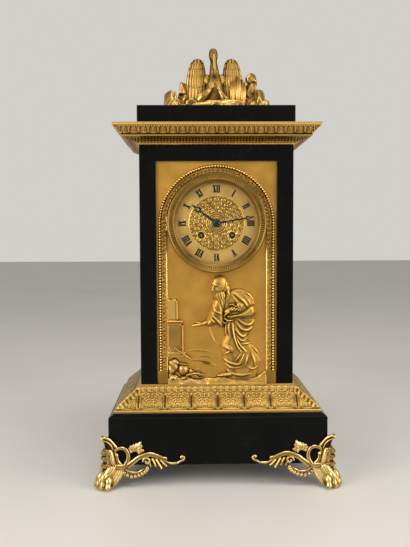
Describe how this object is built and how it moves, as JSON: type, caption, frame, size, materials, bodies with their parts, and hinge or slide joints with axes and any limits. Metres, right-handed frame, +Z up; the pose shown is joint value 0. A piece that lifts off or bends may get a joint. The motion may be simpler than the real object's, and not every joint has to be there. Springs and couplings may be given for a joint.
{
  "type": "mantel clock",
  "caption": "Black marble mantel clock on gilt paw feet, with palmette mouldings, relief panel, hinged bezel, bird finial, and a striking movement with pendulum.",
  "frame": {"origin": "on the floor under the middle of the plinth, midway between the four paws", "axes": "+Z up, -Y out of the dial, +X to the right as seen from the front"},
  "size_m": [0.2648, 0.1952, 0.483],
  "materials": {
    "black_marble": "polished black marble",
    "gilt_bronze": "fire-gilt bronze, matt and burnished",
    "dial_gilt": "gilt, chased and matted",
    "movement_brass": "brushed brass",
    "steel": "polished steel",
    "blued_steel": "blued steel, nearly black",
    "glass": "clear flat glass"
  },
  "bodies": {
    "case": {"plinth": "black_marble", "front_frame": "black_marble", "left_side": "black_marble", "right_side": "black_marble", "back_panel": "black_marble", "cornice_core": "black_marble", "attic_block": "black_marble", "foot_front_left": "gilt_bronze", "foot_front_right": "gilt_bronze", "foot_rear_left": "gilt_bronze", "foot_rear_right": "gilt_bronze", "base_moulding": "gilt_bronze", "cornice": "gilt_bronze", "finial_base": "gilt_bronze", "finial_bird": "gilt_bronze", "panel_plate": "gilt_bronze", "arch_border": "gilt_bronze", "relief_figure": "gilt_bronze", "relief_ruin": "gilt_bronze", "dial_ring": "gilt_bronze", "dial": "dial_gilt", "bezel_hinge_pin": "movement_brass", "front_plate": "movement_brass", "back_plate": "movement_brass", "pillar_1": "movement_brass", "pillar_2": "movement_brass", "pillar_3": "movement_brass", "pillar_4": "movement_brass", "suspension_cock": "movement_brass", "bell": "movement_brass", "strap_left": "movement_brass", "strap_right": "movement_brass", "rear_ring": "movement_brass", "rear_hinge_pin": "movement_brass", "bell_stand": "steel"},
    "bezel_door": {"bezel": "gilt_bronze", "bezel_glass": "glass"},
    "rear_door": {"rear_door": "movement_brass", "rear_knob": "movement_brass"},
    "minute_work": {"centre_wheel": "movement_brass", "minute_hand": "blued_steel", "hand_nut": "blued_steel"},
    "hour_work": {"hour_wheel": "movement_brass", "hour_hand": "blued_steel"},
    "motion_wheel": {"minute_wheel": "movement_brass"},
    "going_barrel": {"going_barrel": "movement_brass"},
    "going_arbor": {"going_arbor": "steel"},
    "third_wheel": {"third_wheel": "movement_brass"},
    "escape_wheel": {"escape_wheel": "movement_brass"},
    "anchor": {"anchor": "steel"},
    "pendulum": {"pendulum_rod": "steel", "pendulum_bob": "movement_brass", "rating_nut": "movement_brass"},
    "strike_barrel": {"strike_barrel": "movement_brass"},
    "strike_arbor": {"strike_arbor": "steel"},
    "strike_wheel": {"pin_wheel": "movement_brass", "count_wheel": "movement_brass"},
    "strike_fly": {"strike_fly": "movement_brass"},
    "hammer": {"hammer": "steel"}
  },
  "joints": [
    {"name": "bezel_open", "type": "hinge", "parent": "case", "child": "bezel_door", "pos_m": [-0.0542, -0.0505, 0.28], "axis": [0, 0, -1], "range_deg": [0, 95]},
    {"name": "rear_door_open", "type": "hinge", "parent": "case", "child": "rear_door", "pos_m": [0.0542, 0.08555, 0.28], "axis": [0, 0, -1], "range_deg": [0, 110]},
    {"name": "minute_turn", "type": "hinge", "parent": "case", "child": "minute_work", "pos_m": [0, -0.04, 0.28], "axis": [0, 1, 0], "continuous": true},
    {"name": "hour_turn", "type": "hinge", "parent": "case", "child": "hour_work", "pos_m": [0, -0.04, 0.28], "axis": [0, 1, 0], "continuous": true},
    {"name": "motion_wheel_turn", "type": "hinge", "parent": "case", "child": "motion_wheel", "pos_m": [-0.0086, -0.04, 0.29229], "axis": [0, 1, 0], "continuous": true},
    {"name": "going_barrel_turn", "type": "hinge", "parent": "case", "child": "going_barrel", "pos_m": [0.017, -0.025, 0.267], "axis": [0, 1, 0], "continuous": true},
    {"name": "third_wheel_turn", "type": "hinge", "parent": "case", "child": "third_wheel", "pos_m": [0.01032, -0.025, 0.29474], "axis": [0, 1, 0], "continuous": true},
    {"name": "escape_wheel_turn", "type": "hinge", "parent": "case", "child": "escape_wheel", "pos_m": [0, -0.025, 0.30179], "axis": [0, 1, 0], "continuous": true},
    {"name": "going_winding", "type": "hinge", "parent": "case", "child": "going_arbor", "pos_m": [0.017, -0.04, 0.267], "axis": [0, 1, 0], "range_deg": [0, 1710]},
    {"name": "strike_barrel_turn", "type": "hinge", "parent": "case", "child": "strike_barrel", "pos_m": [-0.017, -0.025, 0.267], "axis": [0, 1, 0], "continuous": true},
    {"name": "strike_wheel_turn", "type": "hinge", "parent": "case", "child": "strike_wheel", "pos_m": [-0.02432, -0.025, 0.28711], "axis": [0, 1, 0], "continuous": true},
    {"name": "strike_fly_turn", "type": "hinge", "parent": "case", "child": "strike_fly", "pos_m": [-0.01869, -0.025, 0.29685], "axis": [0, 1, 0], "continuous": true},
    {"name": "strike_winding", "type": "hinge", "parent": "case", "child": "strike_arbor", "pos_m": [-0.017, -0.04, 0.267], "axis": [0, 1, 0], "range_deg": [0, 1710]},
    {"name": "pendulum_swing", "type": "hinge", "parent": "case", "child": "pendulum", "pos_m": [0, 0.002, 0.31379], "axis": [0, 1, 0], "range_deg": [-4, 4]},
    {"name": "anchor_rock", "type": "hinge", "parent": "case", "child": "anchor", "pos_m": [0, -0.02, 0.31379], "axis": [0, 1, 0], "range_deg": [-4, 4]},
    {"name": "hammer_lift", "type": "hinge", "parent": "case", "child": "hammer", "pos_m": [-0.021, 0.005, 0.251], "axis": [0, -1, 0], "range_deg": [0, 16]}
  ],
  "couplings": [
    {"joint": "hour_turn", "follows": "minute_turn", "ratio": 0.083333},
    {"joint": "motion_wheel_turn", "follows": "minute_turn", "ratio": -0.33333},
    {"joint": "going_barrel_turn", "follows": "minute_turn", "ratio": -0.25},
    {"joint": "third_wheel_turn", "follows": "minute_turn", "ratio": -4},
    {"joint": "escape_wheel_turn", "follows": "minute_turn", "ratio": 16},
    {"joint": "strike_wheel_turn", "follows": "strike_barrel_turn", "ratio": -4},
    {"joint": "strike_fly_turn", "follows": "strike_barrel_turn", "ratio": 16},
    {"joint": "anchor_rock", "follows": "pendulum_swing", "ratio": 1}
  ]
}
